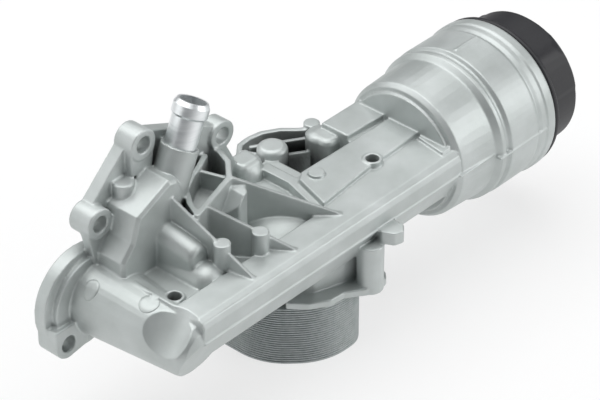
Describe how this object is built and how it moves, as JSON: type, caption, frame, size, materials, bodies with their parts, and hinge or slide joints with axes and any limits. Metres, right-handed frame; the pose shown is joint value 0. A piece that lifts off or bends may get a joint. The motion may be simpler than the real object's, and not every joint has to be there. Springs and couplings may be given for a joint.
{
  "type": "oil filter housing",
  "caption": "Die-cast engine oil filter housing with a lobed screw cap over a filter bowl, a plate oil cooler below and a ribbed coolant elbow with flange and hose spigot.",
  "frame": {"origin": "on the engine face, midway between the two long bolt holes", "axes": "+X along the filter bowl towards the cap, +Z away from the engine face, +Y towards the coolant flange"},
  "size_m": [0.3106, 0.1258, 0.1483],
  "materials": {
    "casting": "die cast, satin",
    "spigot": "drawn, smooth",
    "cooler": "brazed plate edges, matt",
    "seal": "matt",
    "steel": "zinc plated",
    "cap": "moulded, satin",
    "tube": "moulded, matt",
    "paper": "pleated filter paper",
    "disc": "felt, matt"
  },
  "bodies": {
    "housing": {"housing_casting": "casting", "hose_spigot": "spigot", "oil_cooler": "cooler", "cooler_seals": "seal", "cooler_screws": "steel", "dowel_sleeve": "steel", "gallery_plug": "steel", "check_cage": "steel", "check_spring": "steel"},
    "element": {"filter_media": "paper", "filter_bottom_disc": "disc", "filter_top_disc": "disc", "filter_core": "tube"},
    "cap": {"filter_cap": "cap", "cap_o_ring": "seal", "centre_tube": "tube", "nose_o_ring": "seal", "bypass_retainer": "tube", "bypass_spring": "steel"},
    "bypass": {"bypass_poppet": "tube"},
    "check": {"check_plunger": "steel"}
  },
  "joints": [
    {"name": "cap_travel", "type": "slide", "parent": "housing", "child": "element", "axis": [1, 0, 0], "range_m": [0, 0.016]},
    {"name": "cap_turn", "type": "hinge", "parent": "element", "child": "cap", "pos_m": [0.1745, 0.0095, 0.025], "axis": [1, 0, 0], "range_deg": [0, 1440]},
    {"name": "bypass_lift", "type": "slide", "parent": "cap", "child": "bypass", "axis": [-1, 0, 0], "range_m": [0, 0.003], "stiffness_N_per_m": 1500, "springref_m": -0.005, "deforming": ["bypass_spring"]},
    {"name": "check_lift", "type": "slide", "parent": "housing", "child": "check", "axis": [1, 0, 0], "range_m": [0, 0.002], "stiffness_N_per_m": 60, "springref_m": -0.002, "deforming": ["check_spring"]}
  ],
  "couplings": [
    {"joint": "cap_turn", "follows": "cap_travel", "rad_per_m": 1570.8}
  ]
}
